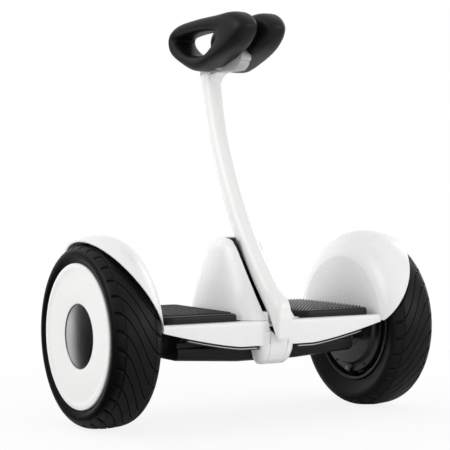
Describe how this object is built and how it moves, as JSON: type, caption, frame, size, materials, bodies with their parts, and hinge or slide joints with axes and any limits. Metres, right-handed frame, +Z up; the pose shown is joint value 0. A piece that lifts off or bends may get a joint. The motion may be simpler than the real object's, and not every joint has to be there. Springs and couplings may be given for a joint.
{
  "type": "self balancing personal transporter",
  "caption": "Self-balancing personal transporter: two hub-motor wheels under white fenders, ribbed foot deck, and a curved steering bar with padded knee loops.",
  "frame": {"origin": "on the floor midway between the wheels, at the bottom centre of the bounding box", "axes": "+X along the axle, from the wheel nearer the camera in the picture to the farther one; -Y is the front, where the bar's foot and the headlights are; +Z is up"},
  "size_m": [0.546, 0.266, 0.605],
  "materials": {
    "white_plastic": "gloss white moulded plastic",
    "black_plastic": "satin black moulded plastic",
    "black_rubber": "matt black rubber",
    "tyre_rubber": "matt black tyre rubber",
    "soft_skin": "soft matt black foam skin",
    "cast_aluminium": "satin cast aluminium",
    "steel": "ground steel",
    "copper_core": "copper windings on a laminated core",
    "dark_gloss": "glossy near black cap",
    "clear_lens": "silver grey light lens",
    "red_lens": "red light lens",
    "board": "green circuit board",
    "wrap": "blue battery wrap"
  },
  "bodies": {
    "chassis": {"front_cover": "white_plastic", "rear_cover": "white_plastic", "nose_strip": "white_plastic", "column_shell": "white_plastic", "column_insert": "black_plastic", "lower_housing": "black_plastic", "angle_sensor": "black_plastic", "charge_socket": "black_plastic", "chassis_frame": "cast_aluminium", "shaft_bearing_front": "steel", "shaft_bearing_rear": "steel", "battery_pack": "wrap", "control_board": "board", "fender_left": "white_plastic", "axle_clamp_left": "cast_aluminium", "lean_stop_left": "black_rubber", "foot_pad_left": "soft_skin", "pad_switch_left": "black_plastic", "headlight_left": "clear_lens", "tail_light_left": "red_lens", "stator_left": "copper_core", "axle_left": "steel", "fender_right": "white_plastic", "axle_clamp_right": "cast_aluminium", "lean_stop_right": "black_rubber", "foot_pad_right": "soft_skin", "pad_switch_right": "black_plastic", "headlight_right": "clear_lens", "tail_light_right": "red_lens", "stator_right": "copper_core", "axle_right": "steel"},
    "steering_column": {"steering_shaft": "steel", "shaft_lever": "cast_aluminium", "bar_foot": "white_plastic", "steering_bar": "white_plastic", "bar_head": "cast_aluminium", "knee_pad_left": "soft_skin", "knee_pad_right": "soft_skin"},
    "wheel_left": {"tyre_left": "tyre_rubber", "rim_left": "cast_aluminium", "valve_stem_left": "black_rubber", "motor_cover_left": "cast_aluminium", "wheel_cover_left": "white_plastic", "hub_cap_left": "dark_gloss", "magnet_ring_left": "steel", "bearing_outer_left": "steel", "bearing_inner_left": "steel"},
    "wheel_right": {"tyre_right": "tyre_rubber", "rim_right": "cast_aluminium", "valve_stem_right": "black_rubber", "motor_cover_right": "cast_aluminium", "wheel_cover_right": "white_plastic", "hub_cap_right": "dark_gloss", "magnet_ring_right": "steel", "bearing_outer_right": "steel", "bearing_inner_right": "steel"},
    "power_button": {"power_button": "black_rubber"},
    "charge_cap": {"charge_cap": "black_rubber"}
  },
  "joints": [
    {"name": "lean", "type": "hinge", "parent": "chassis", "child": "steering_column", "pos_m": [0, 0, 0.14], "axis": [0, 1, 0], "range_deg": [-3, 3], "stiffness_Nm_per_rad": 40},
    {"name": "wheel_spin_left", "type": "hinge", "parent": "chassis", "child": "wheel_left", "pos_m": [-0.236, 0, 0.13335], "axis": [1, 0, 0], "continuous": true},
    {"name": "wheel_spin_right", "type": "hinge", "parent": "chassis", "child": "wheel_right", "pos_m": [0.236, 0, 0.13335], "axis": [1, 0, 0], "continuous": true},
    {"name": "power_press", "type": "slide", "parent": "chassis", "child": "power_button", "axis": [0, -1, 0], "range_m": [0, 0.0012], "stiffness_N_per_m": 400},
    {"name": "cap_hinge", "type": "hinge", "parent": "chassis", "child": "charge_cap", "pos_m": [0.024, 0.1099, 0.1486], "axis": [1, 0, 0], "range_deg": [0, 110]}
  ]
}
